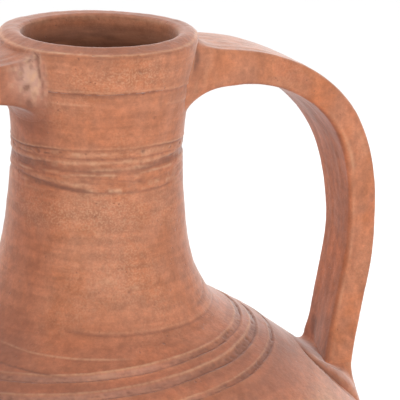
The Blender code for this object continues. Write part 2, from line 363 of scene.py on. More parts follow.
def mark_collar(relief):
    """The wavy incised line at the collar's foot, the step under it and the worn lip."""
    wander = 0.35 * relief.streaks(5, 21) + 0.2 * relief.streaks(1.9, 22)
    share = 0.9 + 0.25 * relief.streaks(9, 23)
    foot = relief.course((-150, 23.6), (-110, 23.7), (-72, 23.8), (-46, 25.2), (40, 25), (130, 24))
    relief.line(foot + wander, 0.75, 0.55, share, dark=0.85, burr=0.16, pale=0.4, red=0.7)
    step = relief.course((-134, 29.6), (-99, 30.5), (-42, 32.7), (60, 31), (150, 30))
    share = smooth(-0.35, 0.5, relief.streaks(16, 24))
    relief.line(step + 0.3 * wander, 0.5, 0.2, share, dark=0.25, burr=0.1, pale=0.55)
    waver = 0.3 * relief.streaks(7, 26) + 0.2 * relief.streaks(2.5, 28)
    worn = 0.55 + 0.45 * noise(relief.points, (4.5, 4.5, 3), 25)
    relief.add(bell(relief.drop - 2.8 + waver, 0.5) * worn, lift=-0.1, pale=1.0)
    relief.add(bell(relief.drop - 4.4 + waver, 0.55) * worn, lift=-0.15, dark=0.7, red=0.4)
    relief.add(1 - smooth(1.6, 2.8, relief.drop), red=0.8, dark=0.3)
    relief.spot(-122, 1.9, 0.9, 1.3, turn=20, lift=-0.25, pale=0.9)
    relief.spot(-134, 2.6, 2.2, 0.6, pale=0.7)
    relief.spot(-87, 12, 1.3, 0.45, turn=35, lift=-0.45, dark=0.75)
    relief.spot(-92, 10.4, 0.5, 0.4, lift=-0.2, dark=0.4)
    relief.spot(-124, 11.2, 0.6, 0.45, lift=-0.2, dark=0.35)


def mark_scar_and_root_shadow(relief):
    """The rough patch and the crack where the left handle's upper root was pressed on, and painted
    shadow under that root.
    """
    p = relief.points
    patch = relief.spot(-149.5, 15.5, 4.8, 12.0, turn=-6)
    rough = noise(p, (2.2, 2.2, 3.0), 31)
    flecks = noise(p, (1.5, 1.5, 2.6), 32)
    relief.add(patch, lift=0.1, ash=1.0)
    relief.add(patch * rough, lift=0.6)
    relief.add(patch * flecks, lift=0.25)
    relief.add(patch * smooth(0.1, 0.4, rough), lift=-0.2, dark=0.55, red=0.5)
    relief.add(patch * smooth(0.05, 0.35, flecks), pale=1.3, ash=0.4)
    relief.spot(-149.2, 16, 1.3, 7.0, turn=-5, lift=0.2, pale=0.7)
    relief.spot(-150.3, 21, 0.9, 1.7, turn=24, lift=-1.1, dark=1.6)
    relief.spot(-150, 29.5, 0.7, 1.7, lift=-0.9, dark=1.2)
    relief.spot(-150.5, 8.0, 1.0, 1.0, lift=-0.6, dark=0.7)
    # Painted shadow, with a redder tone, on the clay under the left handle's upper root.
    relief.spot(-156, 38, 10.0, 9.0, dark=0.42, red=0.7)
    relief.spot(-151, 32, 8.0, 6.0, dark=0.35, red=0.4)
    relief.spot(-148.2, 6.2, 0.7, 3.6, turn=-38, lift=-0.6, dark=1.0)
    relief.spot(-145.8, 13, 0.7, 5.0, turn=-6, lift=-0.6, dark=1.0)
    relief.spot(-144.5, 21, 0.6, 4.5, turn=4, lift=-0.2, dark=0.5)


def mark_neck(relief):
    """The band of incised lines round the neck, and the chips and specks near it."""
    wander = 0.22 * relief.streaks(14, 41) + 0.12 * relief.streaks(3, 42)
    patchy = relief.streaks(11, 43)
    sides = 1 - relief.between(-140, -70, 14)
    relief.scuffed(plateau(relief.drop, 51, 54, 73, 77), 46)
    mark_upper_lines(relief, wander, patchy, sides)
    mark_broad_line(relief, wander, patchy, sides)
    mark_lower_lines(relief, wander, patchy)
    relief.spot(-68, 70.6, 1.6, 1.0, pale=0.8, lift=0.15)
    relief.spot(-56, 68.8, 1.0, 0.7, pale=0.6, dark=0.3)
    relief.spot(-90.5, 124, 1.9, 0.6, turn=-38, lift=-0.6, dark=0.9)
    relief.spot(-87, 122.5, 2.2, 1.4, pale=0.5)
    relief.spot(-150, 123, 1.3, 0.8, lift=-0.3, dark=0.5)
    relief.spot(-109, 94.5, 1.5, 0.8, pale=0.5)
    relief.spot(-104, 118.5, 3.0, 1.6, pale=0.45)


def mark_upper_lines(relief, wander, patchy, sides):
    """The neck's two upper lines, with a pitted strip between them."""
    upper = relief.course(
        (-171, 54.6), (-150, 53.6), (-135, 53.1), (-56, 52.9), (-31, 54.4), (60, 53), (140, 54)
    )
    relief.line(upper + wander, 0.5, 0.35, 0.45 + 0.75 * sides, dark=0.7, burr=0.16, pale=0.5)
    relief.stripe(upper + 2.0, 1.25, smooth(-0.4, 0.4, patchy), lift=-0.22, pale=0.35)
    pits = smooth(0.42, 0.7, noise(relief.points, (2.6, 2.6, 1.6), 44))
    relief.stripe(upper + 1.7, 0.9, pits, lift=-0.45, dark=0.95)
    second = relief.course(
        (-165, 57.5), (-135, 57.0), (-80, 56.8), (-50, 57.4), (-26, 61), (80, 57), (150, 58)
    )
    relief.line(second + 0.7 * wander, 0.42, 0.3, 0.65 + 0.4 * patchy, dark=0.6)
    relief.stripe(second + 1.9, 0.9, lift=0.12, pale=0.5)


def mark_broad_line(relief, wander, patchy, sides):
    """The neck's broad shallow groove, with scratches and two pale scrapes in it."""
    broad = wander + relief.course(
        (-171, 62.6), (-150, 62.0), (-110, 61.8), (-75, 61.6), (-40, 60.4), (60, 62), (150, 62)
    )
    depth = 0.5 + 0.5 * smooth(-0.6, 0.5, patchy) + 0.5 * sides
    relief.stripe(broad + 1.2 * (1 - sides), 2.1, depth, lift=-0.42, dark=0.5, red=0.7)
    relief.stripe(broad - 1.5, 0.35, sides, lift=-0.15, dark=0.5)
    relief.stripe(broad + 1.5, 0.35, smooth(-0.5, 0.4, patchy), lift=-0.15, dark=0.35)
    relief.stripe(broad + 3.2, 0.5, smooth(-0.2, 0.6, patchy), lift=0.14, pale=0.8)
    relief.spot(-104, 62.4, 8.0, 1.1, pale=0.9, lift=0.25)
    relief.spot(-82, 62.0, 7.0, 0.9, pale=0.9, lift=0.25)


def mark_lower_lines(relief, wander, patchy):
    """The neck's three lower lines, the middle one deep at the left and chipped."""
    third = relief.course((-150, 66.4), (-110, 66.6), (-74, 69.4), (-50, 67.5), (60, 66), (150, 67))
    relief.line(third + wander, 0.45, 0.22, 0.7, dark=0.35)
    scored = relief.course(
        (-171, 69.4), (-150, 70.4), (-124, 72.0), (-100, 72.8), (-60, 71.6), (60, 71), (150, 70)
    )
    share = relief.between(-158, -116, 8) + 0.55 * relief.between(60, 170, 12)
    relief.line(scored + 0.6 + 0.5 * wander, 1.3, 0.6, share, dark=0.95, burr=0.2, pale=0.4)
    chips = smooth(0.1, 0.5, relief.streaks(7, 45)) * relief.between(-118, -48, 8)
    relief.stripe(scored + 0.2, 1.1, chips, lift=-0.15, pale=1.0)
    lowest = relief.course(
        (-150, 70.3), (-134, 72.4), (-108, 74.0), (-89, 74.3), (-74, 74.6), (-45, 73), (100, 73)
    )
    relief.line(lowest + 0.7 * wander, 0.6, 0.3, 0.75 + 0.3 * patchy, dark=0.6, red=0.5)


def mark_shoulder(relief):
    """The thin lines round the neck's foot and the three tilted grooves on the shoulder."""
    wander = 0.3 * relief.streaks(24, 51) + 0.12 * relief.streaks(5, 52)
    patchy = relief.streaks(17, 53)
    mark_thin_lines(relief, wander, patchy)
    turns = np.radians(relief.angle)
    first = 157.4 - 5.3 * np.cos(turns + math.radians(30))
    second = 164.1 - 6.5 * np.cos(turns + math.radians(30))
    third = 170.6 - 6.6 * np.cos(turns + math.radians(20))
    side = plateau(relief.angle, -95, -50, 60, 110)
    left = 1 - smooth(-150, -128, relief.angle)
    pits = smooth(0.3, 0.65, noise(relief.points, (3.0, 3.0, 1.5), 54))
    grooves = ((first, 1.95, 0.7, 61), (second, 2.2, 0.75, 71), (third, 1.5, 0.6, 81))
    for drop, half, depth, seed in grooves:
        swell = 1 + 0.22 * relief.streaks(30, seed)
        here = drop + 0.8 * wander
        broken = smooth(-0.7, 0.5, relief.streaks(8, seed + 1))
        edge = 0.3 + 0.35 * broken + 0.4 * left
        relief.trough(here, half * swell, depth * swell, 0.65 + 0.4 * broken, 0.1 + 0.5 * side, edge)
        floor = bell(relief.above(here) / half, 0.9)
        relief.scuffed(0.9 * floor, seed + 2)
        relief.add(floor * pits, lift=-0.4, dark=0.25 + 0.5 * side)
        crest = bell(relief.above(here) - half * 1.9, 0.7)
        relief.add(crest * smooth(-0.3, 0.5, patchy), lift=-0.12, red=0.6)
    relief.stripe((first + second) / 2, 1.6, red=0.45)
    relief.stripe((second + third) / 2, 1.6, red=0.45)


def mark_thin_lines(relief, wander, patchy):
    """The thin lines round the neck's foot, each over part of the way round."""
    foot = relief.course(
        *((-140, 140.4), (-117, 140.8), (-108, 141.7), (-89, 142.3), (-60, 142.9)),
        *((-32, 142.4), (60, 141.5), (150, 141)),
    )
    share = relief.between(-122, -20, 9) * (0.75 + 0.25 * patchy) + 0.5 * relief.between(40, 140, 12)
    relief.line(foot + 0.4 * wander, 0.75, 0.34, share, dark=0.62, burr=0.1, pale=0.25)
    arc = relief.course((-60, 138.5), (-41, 137.9), (-33.4, 136.8), (-28, 135.0), (0, 133), (120, 136))
    relief.line(arc, 0.7, 0.3, relief.between(-46, -20, 4), dark=0.55)
    faint = relief.course(
        (-150, 148.6), (-136, 149.9), (-123, 150.5), (-106, 151.0), (-60, 152), (60, 150)
    )
    relief.line(faint, 0.6, 0.15, relief.between(-150, -100, 8), dark=0.2, burr=0.2, pale=0.7)
    brown = relief.course((-160, 154.2), (-142, 155.1), (-132, 155.9), (-110, 157.5), (60, 152))
    relief.line(brown, 0.6, 0.25, relief.between(-150, -122, 8), dark=0.65)


def mark_tones(relief):
    """Broad changes of tone: redder on the shoulder, dusted with lime below the neck's lines; painted
    shade down the left of the neck and shoulder and on the right of the shoulder, and a painted
    highlight low on the shoulder's right.
    """
    shoulder = smooth(128, 150, relief.drop) * (1 - 0.5 * smooth(175, 200, relief.drop))
    relief.add(shoulder * (0.62 + 0.3 * noise(relief.points, (40, 40, 20), 35)), red=1.0)
    # Painted shade: darker down the left of the neck and body, with a redder tone there, and darker on
    # the left of the shoulder.
    left = plateau(relief.angle, -185, -165, -148, -128)
    relief.add(left * smooth(25, 40, relief.drop), dark=0.2, red=0.5)
    relief.add(smooth(128, 165, relief.drop) * (1 - smooth(-142, -98, relief.angle)), dark=0.5)
    # Painted shade on the right of the shoulder, towards the right handle.
    relief.add(bell(relief.drop - 165, 13) * relief.between(-75, 20, 20), dark=0.4)
    relief.spot(-45, 75, 26, 75, dark=0.14)
    relief.spot(-28, 168, 22, 9, dark=0.25, red=0.4)
    relief.spot(-100, 161, 42, 5, dark=0.4, red=0.3)
    # A painted highlight: a paler patch low on the right of the shoulder.
    relief.spot(-36, 188, 16, 8, pale=0.45)
    relief.spot(-108, 84, 34, 11, bloom=0.8)
    relief.spot(-92, 116, 22, 20, bloom=0.6)
    relief.spot(-96, 16, 30, 7, bloom=0.7)
    relief.spot(-120, 92, 9, 30, pale=0.12)


def outer_relief(points, steep):
    """All the marks on the outside of the wall."""
    relief = Relief(points, steep)
    relief.hand_thrown(11)
    relief.lift += NECK_FOOT_SWELL * bell(relief.drop - 166, 6)
    relief.lift -= NECK_FOOT_HOLLOW * bell(relief.drop - 145, 7)
    mark_tones(relief)
    mark_collar(relief)
    mark_scar_and_root_shadow(relief)
    mark_neck(relief)
    mark_shoulder(relief)
    mark_lower_roots(relief)
    return relief


def mark_lower_roots(relief):
    """The pressed-in seam round the near side of the right handle's foot."""
    x, y = relief.points[..., 0], relief.points[..., 1]
    seam = near_seam(x)
    share = smooth(107, 111, x) * (1 - 0.5 * smooth(119, 124, x)) * (1 - smooth(130, 139, x))
    share = share * (relief.drop < 230)
    relief.add(bell(y - seam + 0.7, 1.1) * share, lift=-0.9, dark=1.2)


def near_seam(x):
    """Where the near edge of the right handle's foot runs on the shoulder, as Y for each X."""
    return np.interp(x, (104, 109, 112, 118, 126, 136, 150), (-20, -31, -42, -48.5, -51, -48, -32))


def inner_relief(points, steep):
    """Throwing rings left inside the jug, and painted shade that deepens down the inside."""
    relief = Relief(points, steep)
    relief.lift += 0.8 * noise(points, (200, 200, 8.5), 91) + 0.4 * noise(points, (60, 60, 3.5), 92)
    relief.lift += 0.12 * noise(points, (6, 6, 4), 93)
    # Painted shade: darker, and more of the inside colour, the deeper below the rim.
    depth = smooth(2.0, 14.0, relief.drop)
    relief.dark += depth * (0.2 + 0.3 * noise(points, (30, 30, 5), 94))
    relief.spot(152, 6, 45, 10, dark=0.35)
    relief.inner += np.clip(0.1 + 0.9 * depth + 0.25 * noise(points, (60, 60, 3.5), 96), 0.0, 1.0)
    return relief


def turned_points(profile):
    """Points of (radius, height) pairs turned about Z: rows down the profile, columns round it."""
    angles = np.linspace(-math.pi, math.pi, COLUMNS, endpoint=False)
    radius, height = profile[:, 0, None], profile[:, 1, None]
    return np.stack([radius * np.cos(angles), radius * np.sin(angles), height + 0 * angles], axis=-1)


def displaced(profile, normals, relief_of):
    """A turned surface with its relief, and the relief."""
    points = turned_points(profile)
    steep = np.clip(np.abs(normals[:, 0, None]), 0.25, 1.0)
    relief = relief_of(points, steep)
    radial = turned_points(normals)
    return points + radial * relief.lift[..., None], relief


def steps(*stretches):
    """Distances down the wall for (start, end, spacing) stretches that follow one another."""
    found = []
    for start, end, spacing in stretches:
        count = max(1, round((end - start) / spacing))
        found.append(np.linspace(start, end, count, endpoint=False))
    found.append(np.array([stretches[-1][1]]))
    return np.concatenate(found)


class Skin:
    """Vertices, faces and skin layers of one piece, in closed rows of equal length."""

    def __init__(self, columns=COLUMNS):
        self.columns = columns
        self.points, self.faces, self.skin_layers = [], [], []
        self.count = 0

    def add_rows(self, points, relief=None):
        """Append points with the relief's skin layers, if any; returns the index of the first."""
        start = self.count
        flat = points.reshape(-1, 3)
        relief = relief or Relief(flat)
        self.points.append(flat)
        self.skin_layers.append(np.stack([getattr(relief, name).reshape(-1) for name in SKIN_LAYERS], axis=-1))
        self.count += len(flat)
        return start

    def join(self, upper, lower):
        """Faces between two rows that start at those indices."""
        here = np.arange(self.columns)
        beyond = (here + 1) % self.columns
        corners = (upper + here, lower + here, lower + beyond, upper + beyond)
        self.faces.append(np.stack(corners, axis=-1))

    def join_rows(self, start, rows):
        """Faces between all following rows of a block; returns the index of its last row."""
        for row in range(rows - 1):
            self.join(start + row * self.columns, start + (row + 1) * self.columns)
        return start + (rows - 1) * self.columns

    def cap(self, row, centre, flip=False):
        """Close a row with a fan to a centre point."""
        hub = self.add_rows(np.array([centre]))
        here = row + np.arange(self.columns)
        beyond = row + (np.arange(self.columns) + 1) % self.columns
        hubs = np.full(self.columns, hub)
        fan = (beyond, here, hubs) if flip else (here, beyond, hubs)
        self.faces.append(np.stack(fan, axis=-1))

    def piece(self, node, slot, material):
        """Make the mesh object, which stands for a CAD node."""
        name = node + "_clay"
        points = leaned(np.concatenate(self.points)) * MM
        faces = [face.tolist() for block in self.faces for face in block]
        mesh = bpy.data.meshes.new(name)
        mesh.from_pydata(points.tolist(), [], faces)
        mesh.validate()
        skin_layers = np.clip(np.concatenate(self.skin_layers), 0.0, 1.0)
        for index, skin_layer in enumerate(SKIN_LAYERS):
            layer = mesh.attributes.new(skin_layer, "FLOAT", "POINT")
            layer.data.foreach_set("value", skin_layers[:, index].astype(np.float32))
        mesh.shade_smooth()
        mesh.set_sharp_from_angle(angle=SHARP_ANGLE)
        mesh.materials.append(material)
        made = bpy.data.objects.new(name, mesh)
        bpy.context.scene.collection.objects.link(made)
        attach(made, "root")
        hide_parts(node)


def band_skin(node, slot, material, outer, inner_rows):
    """A band of wall: its outside at the given distances, and its inside 8 mm deeper."""
    profile, _, normals = WALL_LINE.at(outer)
    skin = Skin()
    outside, relief = displaced(profile, normals, outer_relief)
    start = skin.add_rows(outside, relief)
    end = skin.join_rows(start, len(outer))
    back = np.linspace(outer[-1], outer[0], inner_rows)
    profile, _, normals = WALL_LINE.at(back)
    inside, relief = displaced(profile - normals * WALL, -normals, inner_relief)
    inner = skin.add_rows(inside, relief)
    inner_end = skin.join_rows(inner, inner_rows)
    skin.join(end, inner)
    skin.join(inner_end, start)
    skin.piece(node, slot, material)


def collar_skin(material):
    """The rim collar: up the bore, over the lip and down to its joint with the neck."""
    joint = WALL_LINE.distance_at_drop(COLLAR_JOINT)
    lip_end = WALL_LINE.distance_at_drop(7.0)
    outer = steps((0.0, 12.0, 1.6), (12.0, lip_end, 0.42), (lip_end, joint, 0.52))
    profile, _, normals = WALL_LINE.at(outer)
    foot, _, foot_normal = WALL_LINE.at(np.array([joint]))
    under = np.linspace(0, 1, 4, endpoint=False)[:, None]
    inner_foot = foot - foot_normal * WALL
    profile = np.concatenate([inner_foot * (1 - under) + profile[:1] * under, profile])
    normals = np.concatenate([np.repeat(normals[:1], 4, axis=0), normals])
    skin = Skin()
    bore = 1 - smooth(39.85, 40.6, np.where(normals[:, 0] < 0.3, profile[:, 0], 99.0))
    points = turned_points(profile)
    radial = turned_points(normals)
    outside = outer_relief(points, np.clip(np.abs(normals[:, 0, None]), 0.45, 1.0))
    inside = inner_relief(points, 1.0)
    share = bore[:, None]
    for name in ("lift",) + SKIN_LAYERS:
        setattr(outside, name, getattr(outside, name) * (1 - share) + getattr(inside, name) * share)
    # A painted highlight along the lip's inner edge.
    rim = bell(profile[:, 0, None] - 40.4, 1.0) * bell(outside.drop - 1.5, 2.0)
    outside.pale += rim * (0.35 + 0.3 * noise(points, (9, 9, 400), 27))
    start = skin.add_rows(uneven_rim(points + radial * outside.lift[..., None]), outside)
    end = skin.join_rows(start, len(profile))
    skin.join(end, start)
    skin.piece("rim_collar", "body_clay", material)


def uneven_rim(points):
    """The lip's outer edge, which is less bevelled and stands further out at the back."""
    x, y, drop = points[..., 0], points[..., 1], TOP - points[..., 2]
    radius = np.hypot(x, y)
    behind = (x * math.sin(VIEW_HEADING) + y * math.cos(VIEW_HEADING)) / radius
    share = smooth(-0.4, 0.5, behind) * smooth(43.5, 49.5, radius) * (1 - smooth(5, 17, drop))
    moved = points.copy()
    moved[..., 0] += share * (2.0 * x / radius - 1.6 * math.cos(VIEW_HEADING))
    moved[..., 1] += share * (2.0 * y / radius + 1.6 * math.sin(VIEW_HEADING))
    near = smooth(0.0, 0.7, -behind) * bell(radius - 45.6, 3.2) * (1 - smooth(3.5, 6, drop))
    moved[..., 2] += share * 2.2 - near * 1.5
    return moved


def base_skin(material):
    """The base disc, turned, with wheel marks under it."""
    edge, _, _ = WALL_LINE.at(np.array([WALL_LINE.distance_at_drop(BASE_JOINT)]))
    outline = [(0.01, 10.0)] + [(r, 10.0) for r in (14, 28, 42, 52)]
    outline += [(edge[0, 0] - WALL, 9.6), (edge[0, 0] - WALL, 5.0), tuple(edge[0])]
    outline += [(65.2, 2.4), (64.2, 1.0), (63.2, 0.3), (61.8, 0.0), (59.5, 0.0)]
    outline += [(r, 0.45) for r in range(57, 2, -1)] + [(0.01, 0.45)]
    profile = np.array(outline)
    points = turned_points(profile)
    relief = Relief(points)
    under = (profile[:, 1] < 0.6)[:, None] & (profile[:, 0] < 58)[:, None]
    relief.lift = np.where(under, 0.25 * noise(points, (4.5, 4.5, 50), 95), 0.0)
    points[..., 2] += relief.lift
    skin = Skin()
    start = skin.add_rows(points, relief)
    end = skin.join_rows(start, len(profile))
    skin.cap(start, (0.0, 0.0, 10.0))
    skin.cap(end, (0.0, 0.0, 0.45), flip=True)
    skin.piece("base_disc", "body_clay", material)


def section(width, thickness, outer_radius, inner_radius):
    """Rounded rectangles across the strap: places and normals as (across, over), for each station."""
    centres = []
    for right, up in ((-1, 1), (1, 1), (1, -1), (-1, -1), (-1, 1)):
        radius = outer_radius if up > 0 else inner_radius
        centres.append((right * (width / 2 - radius), up * (thickness / 2 - radius), radius))
    parts = []
    for number, normal in enumerate(((0, 1), (1, 0), (0, -1), (-1, 0))):
        across, over, radius = centres[number + 1]
        t = np.linspace(0, 1, SIDE_POINTS if number % 2 else FACE_POINTS, endpoint=False)
        start = [centres[number][axis] + centres[number][2] * normal[axis] for axis in (0, 1)]
        end = (across + radius * normal[0], over + radius * normal[1])
        flat = [start[axis] + (end[axis] - start[axis]) * t for axis in (0, 1)]
        parts.append(flat + [normal[axis] + 0 * flat[0] for axis in (0, 1)])
        turn = (1 - number) * math.pi / 2
        turn = turn - np.linspace(0, math.pi / 2, CORNER_POINTS, endpoint=False) + 0 * across
        cos, sin = np.cos(turn), np.sin(turn)
        parts.append([across + radius * cos, over + radius * sin, cos, sin])
    return [np.concatenate(arrays, axis=1) for arrays in zip(*parts)]


# Points round a strap, and rows of a pad.
RING = 2 * FACE_POINTS + 2 * SIDE_POINTS + 4 * CORNER_POINTS
PAD_ROWS = 36

# How the near side of the right handle's foot is drawn out: how far, over what length of the
# strap, and on what heading.
NEAR_PULL = 20.0
PULL_LENGTH = 42.0
PULL_HEADING = VIEW_HEADING + 0.12


def strap_points(distance, seed, pull):
    """The strap's surface at distances along its centre line, in the right handle's place.

    Its foot is drawn out by pull millimetres on the near side.
    """
    part = np.clip(distance / STRAP_LINE.length, 0, 1)
    width = through(STRAP_WIDTHS, part)[:, None] + 0.5 * noise_along(distance, 32, seed)
    thickness = through(STRAP_THICKNESSES, part)[:, None] + 0.35 * noise_along(distance, 24, seed + 1)
    across, over, normal_a, normal_o = section(width, thickness, 1.9, 2.3)
    face = 1 - (2 * across / width) ** 2
    side = 1 - (2 * over / thickness) ** 2
    over = over + normal_o * np.where(normal_o > 0, 0.6, 0.3) * face
    across = across + normal_a * 0.5 * side
    over = over - 1.1 * (1 - smooth(8, 40, distance))[:, None]
    flare = 3.5 * bell(distance - STRAP_END, 7.5)[:, None]
    across = across + flare * smooth(-0.2, 1.0, 2 * across / width)
    centre, along, outward = STRAP_LINE.at(distance)
    local = np.stack([across, over, distance[:, None] + 0 * over], axis=-1)
    relief = Relief(local)
    relief.lift += 0.34 * noise(local, (14, 12, 46), seed + 2)
    relief.lift += 0.13 * noise(local, (3.2, 3.0, 42), seed + 3)
    relief.lift += 0.10 * noise(local, (5, 5, 6), seed + 4)
    relief.lift += 0.05 * noise(local, (2.2, 2.2, 2.6), seed + 5)
    near = smooth(0.3, 0.8, -normal_a)
    window = plateau(distance, 78, 108, 225, 245)[:, None]
    edge = over + thickness / 2 - 2.6 - 0.9 * noise_along(distance, 21, seed + 6)
    worn = 0.55 + 0.6 * noise(local, 9, seed + 10)
    relief.add(bell(edge, 0.8) * near * window * worn, lift=0.3, pale=0.45)
    relief.add(bell(edge - 2.1, 0.8) * near * window * worn, lift=-0.25, dark=0.2)
    # The inner face darkened: partly painted shade on the face turned from the light, partly streaky
    # staining, with a redder tone.
    inner_face = smooth(0.3, 0.9, -normal_o)
    streak = noise(local, (2.6, 2.6, 50), seed + 7) + 0.9 * noise(local, (7, 7, 12), seed + 11)
    relief.add(inner_face * (0.1 + 0.26 * streak), dark=1.0)
    relief.add(inner_face, red=0.1)
    relief.add(inner_face * bell(distance - 92, 22)[:, None], dark=0.3, red=1.0)
    blotch = smooth(-0.3, 0.4, noise(local, 6, seed + 12))
    blotch = bell(distance - STRAP_END + 9, 11)[:, None] * blotch
    relief.add(inner_face * blotch, dark=0.75)
    relief.add(near * smooth(0.25, 0.8, noise(local, (4, 4, 30), seed + 8)), pale=0.3)
    relief.add(near * smooth(0.2, 0.8, -noise(local, (5, 5, 26), seed + 9)), red=0.5)
    relief.strap += 1.0
    across = across + normal_a * relief.lift
    over = over + normal_o * relief.lift
    x = centre[:, 0, None] + outward[:, 0, None] * over
    z = centre[:, 1, None] + outward[:, 1, None] * over
    drawn = pull * np.clip(1 + (distance - STRAP_END) / PULL_LENGTH, 0, 1)[:, None] ** 2
    drawn = drawn * smooth(-0.4, 0.9, -2 * across / width)
    x = x - drawn * math.sin(PULL_HEADING)
    across = across - drawn * math.cos(PULL_HEADING)
    return np.stack([x, across, z], axis=-1), relief


def noise_along(distance, size, seed):
    """Smooth noise along the strap, one value for each station."""
    spots = np.stack([distance, 0 * distance, 0 * distance], axis=-1)
    return noise(spots, size, seed)[:, None]


# The wall's outside below the lip, as points of (radius, height) and the directions along it.
BELOW_LIP = WALL_LINE.distances > WALL_LINE.distance_at_drop(4.0)
OUTSIDE = WALL_LINE.points[BELOW_LIP]
OUTSIDE_WAYS = WALL_LINE.directions[BELOW_LIP]


def wall_frame(points):
    """For each point: the nearest place on the wall's outside, its normal and the height over it."""
    radius = np.hypot(points[..., 0], points[..., 1])
    flat = np.stack([radius, points[..., 2]], axis=-1).reshape(-1, 2)
    gaps = ((flat[:, None, :] - OUTSIDE[None, ::2, :]) ** 2).sum(axis=-1)
    index = np.argmin(gaps, axis=1) * 2
    way = OUTSIDE_WAYS[index]
    normal = np.stack([-way[:, 1], way[:, 0]], axis=-1)
    over = ((flat - OUTSIDE[index]) * normal).sum(axis=-1)
    unit = points[..., :2] / radius[..., None]
    normal = normal.reshape(radius.shape + (2,))
    full = np.concatenate([unit * normal[..., :1], normal[..., 1:]], axis=-1)
    over = over.reshape(radius.shape)
    return points - full * over[..., None], full, over


def ring_positions():
    """Where a ring's faces and corners have their middles, in the order of a footprint's knots."""
    spans = np.array((FACE_POINTS, CORNER_POINTS, SIDE_POINTS, CORNER_POINTS) * 2)
    return (np.cumsum(spans) - spans / 2) * 360 / RING


def foot_curve(knots):
    """A closed curve through eight knots, one for each face and corner of the strap's ring."""
    places = ring_positions()
    turn = np.arange(RING) * 360 / RING
    return [around(turn, list(zip(places, values))) for values in zip(*knots)]


def pad_grid(ring, ring_relief, way, foot, lifts, fullness, side, seed):
    """Clay from a strap's end ring to its footprint; the fuller it is, the later it meets the wall."""
    landing = ring.copy()
    for _ in range(6):
        _, normal, over = wall_frame(landing)
        landing = landing + way * (over / np.clip(-(normal * way).sum(axis=1), 0.35, 1.0))[:, None]
    leave = ring + (landing - ring) * 0.55
    arrive = foot + (landing - foot) * (1 - fullness)[:, None]
    arrive, normal, _ = wall_frame(arrive)
    arrive = arrive + normal * lifts[:, None]
    down = np.linspace(0, 1, PAD_ROWS)[:, None]
    t = down[..., None]
    points = ring * (1 - t) ** 3 + 3 * leave * t * (1 - t) ** 2
    points = points + 3 * arrive * t * t * (1 - t) + foot * t**3
    base, normal, over = wall_frame(points)
    dome = np.sqrt(1 - np.clip((down - 0.3) / 0.7, 0, 1) ** 2)
    least = np.minimum(lifts, 1.2)[None, :] * dome - 0.5 * smooth(0.9, 1.0, down)
    settle = smooth(0.0, 0.25, down)
    over = over + (np.maximum(over, least) - over) * settle
    over[-1] = -0.6
    points = base + normal * over[..., None]
    relief = Relief(turned_to(points, side))
    ease = smooth(0.0, 0.3, down) * (1 - 0.6 * smooth(0.8, 1.0, down))
    relief.lift += ease * (0.3 * noise(points, 9, seed) + 0.12 * noise(points, 3, seed + 1))
    for name in ("dark", "pale", "red", "strap"):
        getattr(relief, name)[...] = getattr(ring_relief, name)[None, :] * (1 - smooth(0.1, 0.75, down))
    return points, normal, relief


def turned_to(points, side):
    """Points of the right-hand handle turned to their own side."""
    turned = points.copy()
    turned[..., :2] *= side
    return turned


def close_pad(points, normal, relief, node, side, material):
    """Mesh of a pad from its grid, closed at the strap and inside the wall."""
    skin = Skin(RING)
    share = np.linspace(0, 1, len(points))[:, None, None] ** 0.5
    placed = turned_to(points + normal * relief.lift[..., None] * share, side)
    placed[0] = turned_to(points[:1], side)[0]
    start = skin.add_rows(placed, relief)
    end = skin.join_rows(start, len(points))
    buried = turned_to(points[-1] - normal[-1] * 2.5, side)
    centre = buried.mean(axis=0)
    last = skin.add_rows(buried + (centre - buried) * 0.12)
    skin.join(end, last)
    skin.cap(last, buried_centre(buried), flip=True)
    skin.cap(start, placed[0].mean(axis=0))
    skin.piece(node, "joint_clay", material)


def buried_centre(ring):
    """The middle of a buried ring, moved into the wall."""
    middle = ring.mean(axis=0)
    _, normal, over = wall_frame(middle[None, :])
    return middle - normal[0] * (over[0] + 3.5)


# Footprints on the wall: knots for the outer face, corner, far side, corner, inner face, corner,
# near side and corner. Upper ones as (degrees, drop), lower ones as (X, Y).
UPPER_FOOT_RIGHT = (
    *((0, 6.2), (36, 9.5), (41, 20), (35, 36)),
    *((0, 41), (-35.5, 39.5), (-39.5, 24), (-33.5, 7.5)),
)
UPPER_FOOT_LEFT = (
    *((0, 6.2), (35.5, 7.5), (38.0, 19), (34, 37)),
    *((0, 41), (-35, 37), (-41, 20), (-36, 9)),
)
LOWER_FOOT_RIGHT = (
    *((154.5, 0), (148, 21), (133, 24), (122, 15)),
    *((112, -12), (112, -41), (125, -49), (144, -38)),
)
LOWER_FOOT_LEFT = (
    *((157, 0), (149, 25), (131, 31), (115, 21)),
    *((111, 0), (113, -21), (131, -33), (150, -26)),
)
# How full each pad is at those knots.
UPPER_FULLNESS = (0.5, 0.7, 0.5, 0.55, 0.6, 0.55, 0.5, 0.8)
LOWER_FULLNESS = (0.25, 0.3, 0.3, 0.3, 0.5, 0.8, 0.9, 0.7)
# How high each pad stands at its edge, in millimetres, at those knots.
UPPER_LIFTS = (0.7, 0.35, 0.2, 0.15, 0.2, 0.5, 0.8, 0.8)
LOWER_LIFTS = (0.6, 0.4, 0.2, 0.1, 0.3, 3.5, 6.5, 2.5)


def upper_foot(knots):
    """Footprint points on the neck and the collar."""
    angle, drop = foot_curve(knots)
    radius = np.interp(-(TOP - drop), -OUTSIDE[:, 1], OUTSIDE[:, 0])
    turn = np.radians(angle)
    return np.stack([radius * np.cos(turn), radius * np.sin(turn), TOP - drop], axis=-1)


def lower_foot(knots):
    """Footprint points on the shoulder."""
    x, y = foot_curve(knots)
    body = OUTSIDE[(OUTSIDE[:, 1] < TOP - 100) & (OUTSIDE[:, 1] > TOP - 280)]
    height = np.interp(np.hypot(x, y), body[:, 0], body[:, 1])
    return np.stack([x, y, height], axis=-1)


